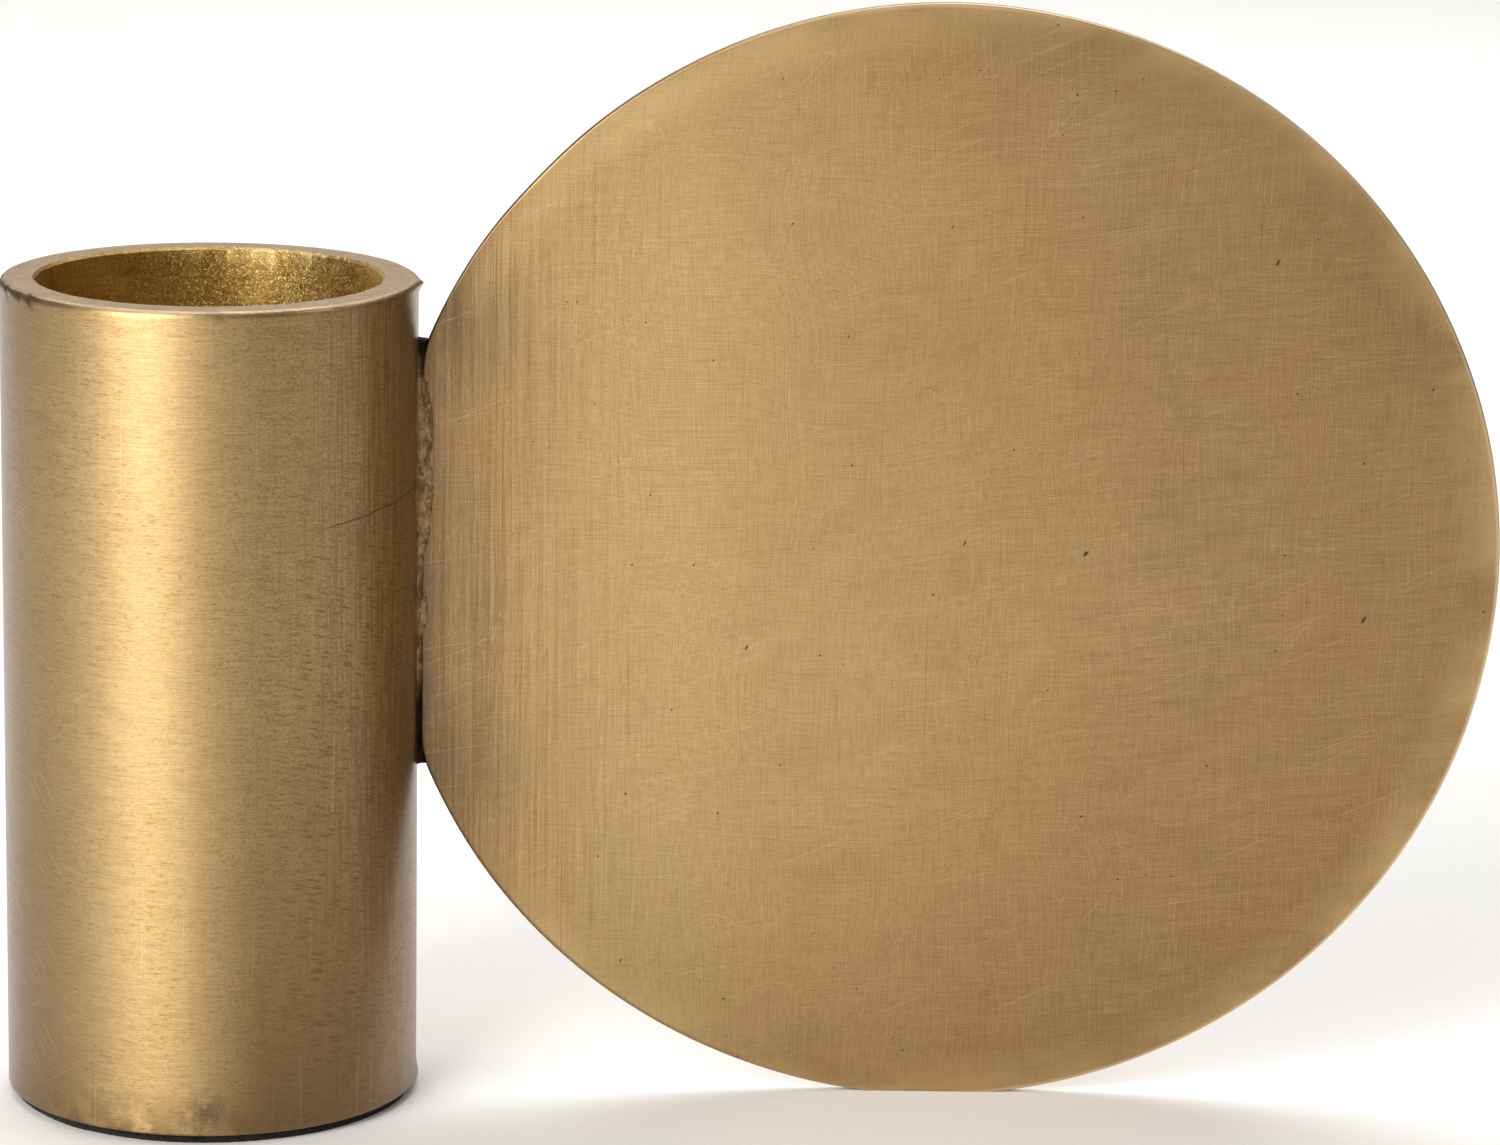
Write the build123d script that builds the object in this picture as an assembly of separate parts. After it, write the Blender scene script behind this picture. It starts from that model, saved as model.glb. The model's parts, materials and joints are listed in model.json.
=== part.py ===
"""Candle holder: an upright brass cup tube brazed to the straight edge of a thin brass disc.

Millimetres.  The origin is on the tube's axis at the underside of the felt pad, so Z = 0 is the table.
+Z is up and +X points from the tube along the disc, whose middle plane is Y = 0.
"""
import os
from math import sqrt

from build123d import *

# Cup tube
tube_outer_radius = 25.0
tube_length = 99.65
cup_wall = 4.3             # wall of the cup, which sets its bore
cup_depth = 20.0           # from the rim down to the candle's floor
floor_ledge = 0.7          # step between the cup's bore and the narrower stock bore below it
rim_outer_round = 0.5
rim_inner_chamfer = 0.4
foot_round = 0.3           # outer edge of the tube at its lower end

# Plates brazed inside the tube
floor_thickness = 2.0
base_plate_thickness = 3.0
plate_clearance = 0.05     # round each plate, in the stock bore
plate_bead_leg = 1.5       # legs of the ring of filler metal that holds each plate

# Felt pad under the tube
pad_thickness = 1.1
pad_inset = 0.75           # how far the pad stops short of the tube's outer wall

# Disc standing on edge
disc_radius = 67.65
disc_thickness = 2.0
disc_edge_round = 0.4      # softened edge on both faces
joint_edge_half = 25.0     # half the straight edge that faces the tube, before its corners are rounded
joint_corner_round = 8.0
foot_flat_depth = 0.5      # ground off the bottom of the disc, so that it stands on a flat

# Brazed joint between the tube and the disc
joint_gap = 0.5            # between the tube and the disc's straight edge
joint_overrun = 1.5        # how far the filler metal runs past the straight edge, at both ends
joint_rim_margin = 2.0     # least distance from the rim down to the filler metal
fillet_leg = 2.4           # along the disc's face and across the tube, in the upper half
fillet_sag = 0.45          # how far the fillet's face is hollowed
root_half_width = 0.7      # the thin root that fills the gap in the lower half, to each side of Y = 0
cut_allowance = 1.0        # how far a rough outline reaches into the piece that trims it

match_tolerance = 1e-6     # for picking out edges by their size or place

# Worked out from the values above
cup_radius = tube_outer_radius - cup_wall
stock_bore_radius = cup_radius - floor_ledge
plate_radius = stock_bore_radius - plate_clearance
tube_foot_z = pad_thickness
rim_z = tube_foot_z + tube_length
floor_z = rim_z - cup_depth
disc_edge_x = tube_outer_radius + joint_gap
disc_centre_x = disc_edge_x + sqrt(disc_radius**2 - joint_edge_half**2)
disc_centre_z = disc_radius - foot_flat_depth
joint_half = joint_edge_half + joint_overrun


def cylinder(radius, bottom, top):
    """Upright cylinder on the tube's axis."""
    return Pos(0, 0, bottom) * extrude(Circle(radius), amount=top - bottom)


def make_tube():
    """Stock tube with its upper end bored out to a cup, so that a ledge is left at the candle's floor."""
    tube = cylinder(tube_outer_radius, tube_foot_z, rim_z)
    tube = fillet(tube.edges().sort_by(Axis.Z)[-1], rim_outer_round)
    tube = fillet(tube.edges().sort_by(Axis.Z)[0], foot_round)
    tube -= cylinder(stock_bore_radius, tube_foot_z, rim_z)
    tube -= cylinder(cup_radius, floor_z, rim_z)
    inner_rim = tube.edges().filter_by(GeomType.CIRCLE).filter_by(
        lambda edge: abs(edge.radius - cup_radius) < match_tolerance).sort_by(Axis.Z)[-1]
    return chamfer(inner_rim, rim_inner_chamfer)


def make_plate(top, thickness):
    """Round plate in the stock bore, with a small clearance all round."""
    return cylinder(plate_radius, top - thickness, top)


def make_plate_bead(plate_face_z, direction):
    """Ring of filler metal in the corner between a plate and the bore, above (+1) or below (-1) the plate."""
    inner = stock_bore_radius - plate_bead_leg
    far_z = plate_face_z + direction * plate_bead_leg
    corner = Polyline((stock_bore_radius, 0, plate_face_z), (inner, 0, plate_face_z),
                      (stock_bore_radius, 0, far_z), close=True)
    return revolve(make_face(corner), Axis.Z)


def make_pad():
    """Felt pad under the tube."""
    return cylinder(tube_outer_radius - pad_inset, 0, pad_thickness)


def make_disc():
    """Disc on edge, with a straight edge facing the tube and a short flat at the bottom."""
    upright = Plane((disc_centre_x, 0, disc_centre_z), x_dir=(1, 0, 0), z_dir=(0, -1, 0))
    size = 2 * disc_radius
    outline = Circle(disc_radius)
    outline -= Pos(disc_edge_x - disc_centre_x - size / 2, 0) * Rectangle(size, size)
    outline = fillet(outline.vertices().sort_by(Axis.X)[:2], joint_corner_round)
    outline -= Pos(0, -disc_centre_z - size / 2) * Rectangle(size, size)
    disc = extrude(upright * outline, amount=disc_thickness / 2, both=True)
    face_edges = disc.edges().filter_by(
        lambda edge: abs(abs(edge.center().Y) - disc_thickness / 2) < match_tolerance)
    return fillet(face_edges, disc_edge_round)


def make_joint_bead(disc, side):
    """Filler metal on one face of the disc: a fillet in the upper half, only a root in the gap below it."""
    near_x = tube_outer_radius - cut_allowance
    far_x = disc_edge_x + fillet_leg
    disc_face_y = side * disc_thickness / 2
    tube_y = disc_face_y + side * fillet_leg
    tube_x = sqrt(tube_outer_radius**2 - tube_y**2)
    hollow = fillet_sag / sqrt(2)
    hollowed = ((far_x + tube_x) / 2 - hollow, (disc_face_y + tube_y) / 2 - side * hollow)
    disc_toe = (far_x, disc_face_y)
    tube_toe = (tube_x, tube_y)
    fillet_outline = Polyline(disc_toe, (far_x, 0), (near_x, 0), (near_x, tube_y), tube_toe)
    fillet_outline += ThreePointArc(tube_toe, hollowed, disc_toe)
    root_y = side * root_half_width
    root_outline = Polyline((near_x, 0), (far_x, 0), (far_x, root_y), (near_x, root_y), close=True)

    top = min(disc_centre_z + joint_half, rim_z - joint_rim_margin)
    bottom = disc_centre_z - joint_half
    up = (0, 0, 1)
    fillet_run = Pos(0, 0, disc_centre_z) * extrude(make_face(fillet_outline), top - disc_centre_z, dir=up)
    root_run = Pos(0, 0, bottom) * extrude(make_face(root_outline), top - bottom, dir=up)
    return fillet_run + root_run - cylinder(tube_outer_radius, 0, rim_z) - disc


def build():
    """Every piece of the candle holder, by name."""
    disc = make_disc()
    base_top = tube_foot_z + base_plate_thickness
    return {
        "cup_tube": make_tube(),
        "candle_floor": make_plate(floor_z, floor_thickness),
        "floor_braze": make_plate_bead(floor_z - floor_thickness, -1),
        "base_plate": make_plate(base_top, base_plate_thickness),
        "base_braze": make_plate_bead(base_top, 1),
        "base_pad": make_pad(),
        "disc": disc,
        "joint_braze_front": make_joint_bead(disc, -1),
        "joint_braze_rear": make_joint_bead(disc, 1),
    }


os.makedirs("parts", exist_ok=True)
for node, piece in build().items():
    export_step(piece, f"parts/{node}.step")
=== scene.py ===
# Candle holder: a brass tube for a slim candle, brazed to the edge of a thin brass disc that stands up.
import json
from math import atan2, cos, exp, hypot, pi, radians, sin

import bmesh
import bpy
from mathutils import Matrix, Vector, noise


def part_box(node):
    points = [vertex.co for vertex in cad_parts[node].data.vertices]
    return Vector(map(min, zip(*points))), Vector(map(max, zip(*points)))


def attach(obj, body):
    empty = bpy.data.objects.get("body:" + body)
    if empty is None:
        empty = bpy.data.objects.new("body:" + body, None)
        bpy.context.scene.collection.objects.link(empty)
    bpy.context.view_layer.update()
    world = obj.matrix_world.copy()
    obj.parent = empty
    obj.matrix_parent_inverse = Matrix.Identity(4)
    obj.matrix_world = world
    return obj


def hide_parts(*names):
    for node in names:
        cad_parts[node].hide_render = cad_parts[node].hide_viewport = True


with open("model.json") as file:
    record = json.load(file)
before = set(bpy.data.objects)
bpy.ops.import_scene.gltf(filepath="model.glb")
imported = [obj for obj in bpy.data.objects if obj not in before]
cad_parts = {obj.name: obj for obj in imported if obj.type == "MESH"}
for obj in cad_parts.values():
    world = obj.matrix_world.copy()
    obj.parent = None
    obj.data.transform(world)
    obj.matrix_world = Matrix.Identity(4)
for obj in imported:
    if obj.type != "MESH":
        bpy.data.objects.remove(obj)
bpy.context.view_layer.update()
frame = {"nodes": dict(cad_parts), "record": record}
MM = 0.001

# --------------------------------------------------------------------------------------------------
# Studio: a plain pale table top, a soft box at the front left, a weak one overhead, one hung over the
# far half of the table, a small one at the right for the disc's edge, and pale walls. The camera looks
# slightly down.
# --------------------------------------------------------------------------------------------------
CAMERA_PLACE = (54.14 * MM, -678.54 * MM, 218.07 * MM)
CAMERA_TURN = 0.0163       # radians, to the right
CAMERA_DIP = 0.2215        # looks slightly down
CAMERA_ROLL = 0.0166
CAMERA_LENS = 137.86       # on a 36 mm wide sensor
TABLE_SIZE = 8.0
TABLE_COLOUR = (0.90, 0.895, 0.885, 1)
TABLE_FIBRE_COLOUR = (0.93, 0.925, 0.915, 1)
WALL_COLOUR = (1.0, 0.985, 0.97, 1)
WALL_STRENGTH = 0.15
WALL_PALENESS = 0.85       # how bright the walls look behind the table
WARM_WHITE = (1.0, 0.985, 0.95)
PLAIN_WHITE = (1.0, 0.99, 0.98)
ROSY_WHITE = (1.0, 0.98, 0.97)


def node(tree, kind, inputs=None, **settings):
    """Adds a shader node; inputs are values or the sockets that feed them."""
    made = tree.nodes.new("ShaderNode" + kind)
    for name, value in settings.items():
        setattr(made, name, value)
    for name, value in (inputs or {}).items():
        if isinstance(value, bpy.types.NodeSocket):
            tree.links.new(value, made.inputs[name])
        else:
            made.inputs[name].default_value = value
    return made


def tint(tree, factor, base, layer):
    """Lays a colour over another where factor is 1."""
    mix = node(tree, "Mix", {"Factor": factor, 6: base, 7: layer}, data_type="RGBA")
    return mix.outputs[2]


def new_finish(name, **shader_inputs):
    """A node material with a Principled shader; returns the material, its tree and the shader."""
    finish = bpy.data.materials.new(name)
    finish.use_nodes = True
    tree = finish.node_tree
    tree.nodes.clear()
    shader = node(tree, "BsdfPrincipled", shader_inputs)
    node(tree, "OutputMaterial", {"Surface": shader.outputs["BSDF"]})
    return finish, tree, shader


def soft_box(name, place, aim, width, height, power, colour):
    """An area light that hangs at place and points at aim; sizes in metres, power in watts."""
    light = bpy.data.lights.new(name, "AREA")
    light.shape = "RECTANGLE"
    light.size = width
    light.size_y = height
    light.energy = power
    light.color = colour
    lamp = bpy.data.objects.new(name, light)
    towards = (Vector(aim) - Vector(place)).to_track_quat("-Z", "Y")
    lamp.matrix_world = Matrix.Translation(place) @ towards.to_matrix().to_4x4()
    bpy.context.scene.collection.objects.link(lamp)


def table_finish():
    finish, tree, shader = new_finish("table_paper", Roughness=0.9)
    place = node(tree, "TexCoord").outputs["Object"]
    fibre = node(tree, "TexNoise", {"Vector": place, "Scale": 900.0, "Detail": 3.0})
    tone = tint(tree, fibre.outputs["Fac"], TABLE_COLOUR, TABLE_FIBRE_COLOUR)
    tree.links.new(tone, shader.inputs["Base Color"])
    return finish


table_mesh = bmesh.new()
bmesh.ops.create_grid(table_mesh, x_segments=1, y_segments=1, size=TABLE_SIZE / 2)
table_data = bpy.data.meshes.new("table_top")
table_mesh.to_mesh(table_data)
table_data.materials.append(table_finish())
table_top = bpy.data.objects.new("table_top", table_data)
bpy.context.scene.collection.objects.link(table_top)

world = bpy.data.worlds.new("pale_walls")
world.use_nodes = True
walls = world.node_tree.nodes["Background"]
walls.inputs["Color"].default_value = WALL_COLOUR
seen = node(world.node_tree, "LightPath").outputs["Is Camera Ray"]
wall_light = node(world.node_tree, "MapRange", {"Value": seen, "To Min": WALL_STRENGTH,
                                                "To Max": WALL_PALENESS})
world.node_tree.links.new(wall_light.outputs["Result"], walls.inputs["Strength"])
bpy.context.scene.world = world
soft_box("key_box", (-0.62, -0.96, 0.55), (0.0, 0.0, 0.05), 0.72, 1.0, 18.5, WARM_WHITE)
soft_box("top_box", (0.0, 0.35, 1.3), (0.0, 0.1, 0.0), 1.0, 1.0, 6.5, PLAIN_WHITE)
soft_box("far_box", (0.10, 0.80, 1.1), (0.10, 0.80, 0.0), 1.6, 1.1, 13.0, PLAIN_WHITE)
soft_box("edge_box", (0.95, -0.25, 0.75), (0.12, 0.0, 0.08), 0.35, 0.35, 1.5, ROSY_WHITE)

camera_data = bpy.data.cameras.new("camera")
camera_data.lens = CAMERA_LENS
camera_data.sensor_width = 36.0
camera = bpy.data.objects.new("camera", camera_data)
camera.matrix_world = (Matrix.Translation(CAMERA_PLACE)
                       @ Matrix.Rotation(-CAMERA_TURN, 4, "Z")
                       @ Matrix.Rotation(pi / 2 - CAMERA_DIP, 4, "X")
                       @ Matrix.Rotation(CAMERA_ROLL, 4, "Z"))
bpy.context.scene.collection.objects.link(camera)
bpy.context.scene.camera = camera
bpy.context.scene.view_settings.view_transform = "Standard"

# --------------------------------------------------------------------------------------------------
# Cup tube: a length of thick brass tube, brushed round and round, antiqued and lacquered. Its upper end
# is bored out for the candle and painted inside with grainy gold paint. The rim was ground flat, which
# left a burr.
# --------------------------------------------------------------------------------------------------
tube_low, tube_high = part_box("cup_tube")
floor_low, floor_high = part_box("candle_floor")
cup_mount = next(mount for mount in frame["record"]["mounts"] if mount["name"] == "candle_cup")
TUBE_RADIUS = tube_high[1]
FOOT_Z = tube_low[2]
RIM_Z = tube_high[2]
CUP_RADIUS = cup_mount["dims"]["r_mm"] * MM
CUP_FLOOR_Z = floor_high[2]
STOCK_BORE_RADIUS = CUP_RADIUS - 0.7 * MM   # hidden under the candle's floor
RIM_ROUND = 0.75 * MM
RIM_BEVEL = 0.32 * MM                       # ragged inner edge of the rim, under the paint
FOOT_ROUND = 0.3 * MM
RIM_BURR = 0.85 * MM                        # spur that the grinding left on the rim, beside the disc
RIM_BURR_SPREAD = radians(4.5)
FOOT_BURR = 0.28 * MM
FOOT_BURR_SPREAD = radians(14)
RIM_RAGGED = 0.16 * MM                      # how far the inner edge wanders
RIM_WEAR = 0.10 * MM                        # most that is worn off the outer edge
WALL_SKIN = 0.8 * MM                        # how deep in the wall the burrs and nicks reach
TUBE_STEPS = 600
RIM_NICKS = ((-166, 0.6), (-160, 1.0), (-152.5, 0.9), (-150.5, 0.7), (-145, 1.0), (-142, 0.5),
             (-84.5, 0.5))                  # place round the rim in degrees, and depth against the deepest
NICK_DEPTH = 0.15 * MM
NICK_LEAN = 45.0                            # radians per metre down from the rim
NICK_HALF_WIDTH = 0.028                     # radians
NICK_MIDDLE = 0.45 * MM                     # below the rim
NICK_HALF_HEIGHT = 0.75 * MM
BRASS = (0.49, 0.325, 0.132, 1)
BRASS_PALE = (0.56, 0.396, 0.180, 1)
BRASS_RED = (0.47, 0.280, 0.120, 1)
PATINA = (0.20, 0.118, 0.045, 1)
PATINA_BLACK = (0.045, 0.027, 0.014, 1)
BRASS_WORN = (0.80, 0.62, 0.38, 1)
BRASS_BRIGHT = (0.72, 0.54, 0.29, 1)
PATINA_BROWN = (0.160, 0.083, 0.030, 1)
# Darker red-brown, for painted shade on the disc's far side and bottom, and darker towards the disc's top.
DARK_RED_BROWN = (0.220, 0.105, 0.036, 1)
SCUFF = (0.130, 0.070, 0.042, 1)
# Dark brown, for a smudge of dirt on the tube and for painted shade in the corners between the disc and the
# tube.
SOOT_AND_SHADE = (0.100, 0.068, 0.042, 1)
RIM_DARK = (0.34, 0.245, 0.152, 1)
RIM_LIGHT = (0.44, 0.330, 0.215, 1)
RIM_STAIN = (0.29, 0.190, 0.122, 1)
RIM_SCRATCH = (0.62, 0.51, 0.38, 1)
GOLD_DULL = (0.42, 0.255, 0.050, 1)
GOLD = (0.68, 0.455, 0.130, 1)
# Darker gold, for brushed streaks and for painted shade on the left of the bore.
GOLD_DARK_AND_SHADE = (0.27, 0.148, 0.024, 1)
# Painted highlight along the lip of the bore.
GOLD_LIP_HIGHLIGHT = (0.86, 0.66, 0.26, 1)
GOLD_GLINT = (1.0, 0.82, 0.42, 1)
GOLD_GAP = (0.17, 0.100, 0.016, 1)          # between the flakes
FLAKES_PER_METRE = 6000.0
GOUGE = ((radians(-56), 74.2 * MM), (radians(-4), 76.6 * MM))   # one long scratch: where it starts and ends
CHATTER_FULL_BELOW = 62 * MM                # short dark marks of a slipping tool, beside the disc
CHATTER_HALF_ABOVE = 84 * MM
SMUDGE_PLACE = (1.0 * MM, -24.5 * MM, 4.0 * MM)
SMUDGE_RADIUS = 3.4 * MM
# How far above the foot the tube is darker.
FOOT_DARK_HEIGHT = 6.0 * MM


def between(tree, value, low, high, to_low=0.0, to_high=1.0):
    """Turns low..high into to_low..to_high, and holds it there outside."""
    limits = {"Value": value, "From Min": low, "From Max": high, "To Min": to_low, "To Max": to_high}
    return node(tree, "MapRange", limits).outputs["Result"]


def maths(tree, operation, first, second=0.0):
    """One sum with values or sockets."""
    sum_node = node(tree, "Math", operation=operation)
    for index, value in enumerate((first, second)):
        if isinstance(value, bpy.types.NodeSocket):
            tree.links.new(value, sum_node.inputs[index])
        else:
            sum_node.inputs[index].default_value = value
    return sum_node.outputs["Value"]


def times(tree, *factors):
    """Several factors multiplied together."""
    product = factors[0]
    for factor in factors[1:]:
        product = maths(tree, "MULTIPLY", product, factor)
    return product


def most(tree, *marks):
    """The strongest of several marks at each place."""
    strongest = marks[0]
    for mark in marks[1:]:
        strongest = maths(tree, "MAXIMUM", strongest, mark)
    return strongest


def stretched(tree, place, size, turn=(0.0, 0.0, 0.0), start=(0.0, 0.0, 0.0)):
    """Measures places in steps of the given size in mm, each way, along turned axes."""
    scale = [length * MM for length in size]
    mapping = node(tree, "Mapping", {"Vector": place, "Location": start, "Rotation": turn, "Scale": scale},
                   vector_type="TEXTURE")
    return mapping.outputs["Vector"]


def grain(tree, place, size, turn=(0.0, 0.0, 0.0), detail=4.0, roughness=0.55, start=(0.0, 0.0, 0.0)):
    """Noise marks of about the given size in mm, each way. They are stretched along turned axes."""
    marks = node(tree, "TexNoise", {"Vector": stretched(tree, place, size, turn, start), "Scale": 1.0,
                                    "Detail": detail, "Roughness": roughness})
    return marks.outputs["Fac"]


def flat(tree, across, up):
    """A plane for strokes, from two lengths."""
    return node(tree, "CombineXYZ", {"X": across, "Y": up}).outputs["Vector"]


def strokes(tree, plane, length, width, slope, share, start=(0.0, 0.0, 0.0)):
    """Straight strokes with faded ends, sloped in degrees, in a share of the cells of a long lattice."""
    lattice = stretched(tree, plane, (length, width, 1000.0), (0.0, 0.0, radians(slope)), start)
    cells = node(tree, "TexVoronoi", {"Vector": lattice, "Scale": 1.0}, voronoi_dimensions="2D")
    chosen = node(tree, "SeparateColor", {"Color": cells.outputs["Color"]})
    there = maths(tree, "LESS_THAN", chosen.outputs["Red"], share)
    reach = between(tree, chosen.outputs["Green"], 0.0, 1.0, 0.20, 0.48)
    fade = maths(tree, "DIVIDE", maths(tree, "SUBTRACT", reach, cells.outputs["Distance"]), 0.2)
    return times(tree, there, between(tree, fade, 0.0, 1.0))


def pits(tree, place, spacing, share, radius):
    """Small round pits in a share of the cells of a lattice; spacing and radius are in mm."""
    lattice = stretched(tree, place, (spacing, spacing, spacing))
    cells = node(tree, "TexVoronoi", {"Vector": lattice, "Scale": 1.0})
    chosen = node(tree, "SeparateColor", {"Color": cells.outputs["Color"]})
    there = maths(tree, "LESS_THAN", chosen.outputs["Red"], share)
    size = between(tree, chosen.outputs["Green"], 0.0, 1.0, 0.4 * radius / spacing, radius / spacing)
    return times(tree, there, maths(tree, "LESS_THAN", cells.outputs["Distance"], size))


def spot(tree, place, centre, radius, edge=0.5):
    """1 within a ball, falling to 0 at its radius."""
    away = node(tree, "VectorMath", {0: place, 1: centre}, operation="DISTANCE").outputs["Value"]
    return between(tree, away, radius * edge, radius, 1.0, 0.0)


def layered(tree, colour, *layers):
    """Lays colours over a first one, in order; each layer is how much of it there is, and its colour."""
    for share, layer in layers:
        colour = tint(tree, share, colour, layer)
    return colour


def relief(tree, shader, height, depth, strength=1.0):
    """Raises the surface by a pattern of heights; depth is in mm."""
    bump = node(tree, "Bump", {"Height": height, "Distance": depth * MM, "Strength": strength})
    tree.links.new(bump.outputs["Normal"], shader.inputs["Normal"])


def long_scratch(tree, turn, height_up, wander, speckle):
    """The one long dark scratch: a thin line between the ends of GOUGE that wanders and breaks up."""
    (start_turn, start_height), (end_turn, end_height) = GOUGE
    middle = maths(tree, "ADD", between(tree, turn, start_turn, end_turn, start_height, end_height),
                   times(tree, maths(tree, "SUBTRACT", wander, 0.5), 1.2 * MM))
    away = maths(tree, "ABSOLUTE", maths(tree, "SUBTRACT", height_up, middle))
    return times(tree, between(tree, away, 0.04 * MM, 0.17 * MM, 1.0, 0.0),
                 between(tree, turn, start_turn, start_turn + 0.12),
                 between(tree, turn, end_turn - 0.1, end_turn, 1.0, 0.0),
                 between(tree, speckle, 0.30, 0.60, 1.0, 0.6))


def tube_brass():
    """Antiqued brass: fine marks round the tube, streaks beside the disc, a few deeper marks, and painted
    shade on the right half, on the far left and low on the left.
    """
    finish, tree, shader = new_finish("tube_brass", **{
        "Metallic": 1.0, "Anisotropic": 0.40, "Anisotropic Rotation": 0.25, "Coat Weight": 0.45,
        "Coat Roughness": 0.27, "Coat IOR": 1.45})
    place = node(tree, "TexCoord").outputs["Object"]
    axes = node(tree, "SeparateXYZ", {"Vector": place})
    across = axes.outputs["X"]
    height_up = axes.outputs["Z"]
    turn = maths(tree, "ARCTAN2", axes.outputs["Y"], across)
    plane = flat(tree, times(tree, turn, TUBE_RADIUS), height_up)
    around = node(tree, "Tangent", direction_type="RADIAL", axis="Z")
    tree.links.new(around.outputs["Tangent"], shader.inputs["Tangent"])

    # Marks of the brush, from the broadest to the finest.
    clouds = grain(tree, place, (17, 17, 26), detail=5.0)
    patches = grain(tree, place, (7, 7, 4), detail=4.0, start=(5.0, 2.0, 1.0))
    bands = grain(tree, place, (14, 14, 1.1), detail=3.0)
    fine = grain(tree, place, (3.5, 3.5, 0.17), detail=3.0, roughness=0.65)
    dashes = grain(tree, place, (1.0, 1.0, 0.20), detail=2.0, start=(3.0, 1.0, 7.0))
    speckle = grain(tree, place, (0.32, 0.32, 0.26), detail=2.0, start=(8.0, 3.0, 2.0))
    upright = grain(tree, place, (0.34, 0.34, 11), detail=3.0, roughness=0.6)
    dark_dashes = times(tree, between(tree, dashes, 0.33, 0.43, 0.60, 0.0),
                        between(tree, clouds, 0.36, 0.60, 1.0, 0.40))

    # Where the patina is thicker beside the disc, and painted shade: on the right half, most of it low
    # down, on the far left, and low on the left.
    joint_side = times(tree, between(tree, across, 0.45 * TUBE_RADIUS, 0.92 * TUBE_RADIUS),
                       between(tree, across, 0.90 * TUBE_RADIUS, TUBE_RADIUS, 1.0, 0.40))
    side_streaks = times(tree, between(tree, upright, 0.38, 0.60, 0.90, 0.02), joint_side)
    right_half = between(tree, across, -0.05 * TUBE_RADIUS, 0.30 * TUBE_RADIUS)
    # Painted shade on the right half of the tube: strongest low down, weaker higher up.
    painted_shade_by_height = between(tree, height_up, FOOT_Z + 2 * MM, FOOT_Z + 60 * MM, 0.86, 0.32)
    # Mottled marks, on the right half only, where they also paint shade on that side.
    mottled_and_shade = maths(tree, "MINIMUM", speckle, maths(tree, "ADD", upright, 0.04))
    mottled_and_shade = times(tree, between(tree, mottled_and_shade, 0.34, 0.52, 0.34, 0.0), right_half)
    # Painted shade on the far left of the tube.
    painted_shade_left = between(tree, across, -0.99 * TUBE_RADIUS, -0.55 * TUBE_RADIUS, 0.75, 0.0)
    # Painted shade low on the left of the tube; some light scratches below are laid in the same place.
    low_left_shade = times(tree, between(tree, across, -0.95 * TUBE_RADIUS, -0.25 * TUBE_RADIUS, 1.0, 0.0),
                     between(tree, height_up, FOOT_Z + 8 * MM, FOOT_Z + 70 * MM, 1.0, 0.10))

    # Wear and damage, and darker towards the foot.
    chatter = times(tree, strokes(tree, plane, 2.7, 0.42, -15, 0.60), between(tree, upright, 0.36, 0.50),
                    between(tree, across, 0.15 * TUBE_RADIUS, 0.55 * TUBE_RADIUS),
                    between(tree, height_up, CHATTER_FULL_BELOW, CHATTER_HALF_ABOVE, 1.0, 0.5))
    smudge = times(tree, spot(tree, place, SMUDGE_PLACE, SMUDGE_RADIUS, 0.2),
                   between(tree, grain(tree, place, (1.8, 1.8, 1.8)), 0.34, 0.50),
                   between(tree, speckle, 0.3, 0.6, 0.90, 0.6))
    # Darker towards the foot.
    foot_darkening = times(tree, between(tree, height_up, FOOT_Z, FOOT_Z + FOOT_DARK_HEIGHT, 0.75, 0.0),
                       between(tree, grain(tree, place, (3, 3, 3)), 0.42, 0.56))
    rubbed = times(tree, between(tree, height_up, RIM_Z - 0.9 * MM, RIM_Z - 0.4 * MM),
                   between(tree, grain(tree, place, (5, 5, 5), start=(1.0, 0.0, 0.0)), 0.40, 0.60))
    light = times(tree, strokes(tree, plane, 8.0, 0.12, -48, 0.05), between(tree, low_left_shade, 0.10, 0.40))
    light = most(tree, light, strokes(tree, plane, 7.0, 0.12, 30, 0.006, (0.3, 0.1, 0.0)),
                 strokes(tree, plane, 20.0, 0.12, 89, 0.016, (0.2, 0.7, 0.0)))
    gouge = long_scratch(tree, turn, height_up, patches, speckle)
    dots = pits(tree, place, 3.2, 0.13, 0.13)
    worn = node(tree, "Attribute", attribute_name="nick").outputs["Fac"]
    scuffed = times(tree, worn, between(tree, speckle, 0.35, 0.60, 0.95, 0.35))

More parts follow.
